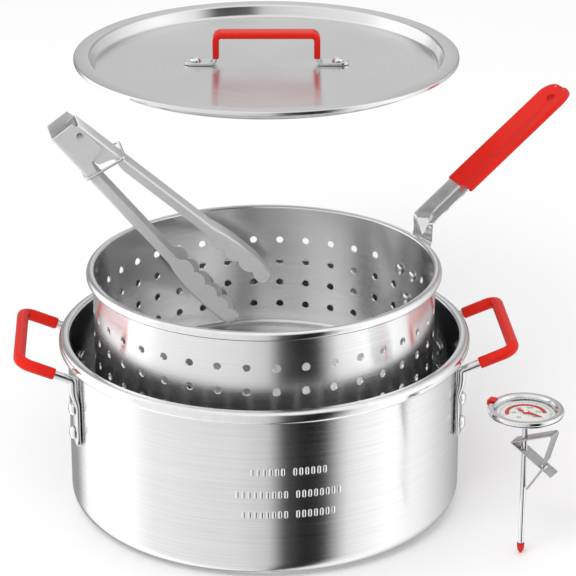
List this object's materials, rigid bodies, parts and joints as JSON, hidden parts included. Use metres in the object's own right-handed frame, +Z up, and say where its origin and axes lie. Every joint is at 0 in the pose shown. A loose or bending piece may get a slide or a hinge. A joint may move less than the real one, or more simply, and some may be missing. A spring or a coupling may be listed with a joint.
{
  "type": "turkey fryer kit",
  "caption": "Stock pot with side handles, perforated frying basket, recessed lid, spring tongs and dial thermometer, laid out apart.",
  "frame": {"origin": "centre of the pot's flat underside", "axes": "+Z up along the pot's axis, side handles on +X and -X, front of the pot towards -Y"},
  "size_m": [0.4387, 0.475, 0.323],
  "materials": {
    "pot_aluminium": "brushed round the body, polished bead",
    "basket_aluminium": "satin, brushed round",
    "lid_aluminium": "spun, fine circular lines",
    "plated_steel": "bright plated",
    "tongs_steel": "satin",
    "thermometer_steel": "polished",
    "spring_steel": "plain",
    "rivet_aluminium": "bright",
    "red_vinyl": "smooth dipped vinyl",
    "red_plastic": "smooth",
    "dial_white": "printed face",
    "lens_glass": "clear"
  },
  "bodies": {
    "pot": {"pot_shell": "pot_aluminium", "left_side_handle_rod": "plated_steel", "left_side_handle_sleeve": "red_vinyl", "right_side_handle_rod": "plated_steel", "right_side_handle_sleeve": "red_vinyl", "left_front_rivet_upper": "rivet_aluminium", "left_front_rivet_lower": "rivet_aluminium", "left_back_rivet_upper": "rivet_aluminium", "left_back_rivet_lower": "rivet_aluminium", "right_front_rivet_upper": "rivet_aluminium", "right_front_rivet_lower": "rivet_aluminium", "right_back_rivet_upper": "rivet_aluminium", "right_back_rivet_lower": "rivet_aluminium"},
    "basket": {"basket_shell": "basket_aluminium", "basket_handle_strap": "plated_steel", "basket_handle_grip": "red_vinyl", "basket_rivet_front": "rivet_aluminium", "basket_rivet_back": "rivet_aluminium", "basket_rivet_lower": "rivet_aluminium"},
    "lid": {"lid_plate": "lid_aluminium", "lid_handle_strap": "plated_steel", "lid_handle_sleeve": "red_vinyl", "lid_left_rivet": "rivet_aluminium", "lid_right_rivet": "rivet_aluminium"},
    "tongs_lower": {"tongs_lower_arm": "tongs_steel", "tongs_pivot_pin": "tongs_steel", "tongs_spring": "spring_steel"},
    "tongs_upper": {"tongs_upper_arm": "tongs_steel"},
    "tongs_ring": {"tongs_lock_ring": "tongs_steel"},
    "thermometer": {"thermometer_case": "thermometer_steel", "thermometer_bezel": "thermometer_steel", "thermometer_lens": "lens_glass", "thermometer_dial": "dial_white", "thermometer_stem": "thermometer_steel", "stem_collar": "thermometer_steel", "stem_tip_cap": "red_plastic", "bimetal_coil": "spring_steel"},
    "pointer": {"pointer_needle": "red_plastic", "pointer_spindle": "spring_steel"},
    "marker": {"target_marker": "red_plastic"},
    "clip": {"stem_clip": "thermometer_steel"}
  },
  "joints": [
    {"name": "lid_lift", "type": "slide", "parent": "pot", "child": "lid", "axis": [0.0487, 0.6969, 0.7155], "range_m": [-0.035, 0.1]},
    {"name": "basket_lift", "type": "slide", "parent": "pot", "child": "basket", "axis": [0, 0, 1], "range_m": [-0.057, 0.03]},
    {"name": "tongs_out", "type": "slide", "parent": "basket", "child": "tongs_lower", "axis": [-0.5122, -0.269, 0.8157], "range_m": [0, 0.1]},
    {"name": "tongs_squeeze", "type": "hinge", "parent": "tongs_lower", "child": "tongs_upper", "pos_m": [-0.1389, 0.0476, 0.2836], "axis": [-0.1943, 0.9614, 0.195], "range_deg": [0, 7.4], "stiffness_Nm_per_rad": 0.5, "springref_deg": -17.19},
    {"name": "ring_slide", "type": "slide", "parent": "tongs_lower", "child": "tongs_ring", "axis": [0.5694, 0.2724, -0.7756], "range_m": [0, 0.027]},
    {"name": "thermometer_lift", "type": "slide", "parent": "pot", "child": "thermometer", "axis": [0, 0, 1], "range_m": [0, 0.08]},
    {"name": "clip_slide", "type": "slide", "parent": "thermometer", "child": "clip", "axis": [0, 0, 1], "range_m": [-0.045, 0.0008]},
    {"name": "pointer_turn", "type": "hinge", "parent": "thermometer", "child": "pointer", "pos_m": [0.1836, -0.1191, 0.111], "axis": [0, 0, -1], "range_deg": [-272, 4]},
    {"name": "marker_turn", "type": "hinge", "parent": "thermometer", "child": "marker", "pos_m": [0.1836, -0.1191, 0.118], "axis": [0, 0, -1], "continuous": true}
  ],
  "couplings": [
    {"joint": "ring_slide", "follows": "tongs_squeeze", "m_per_rad": 0.2}
  ]
}
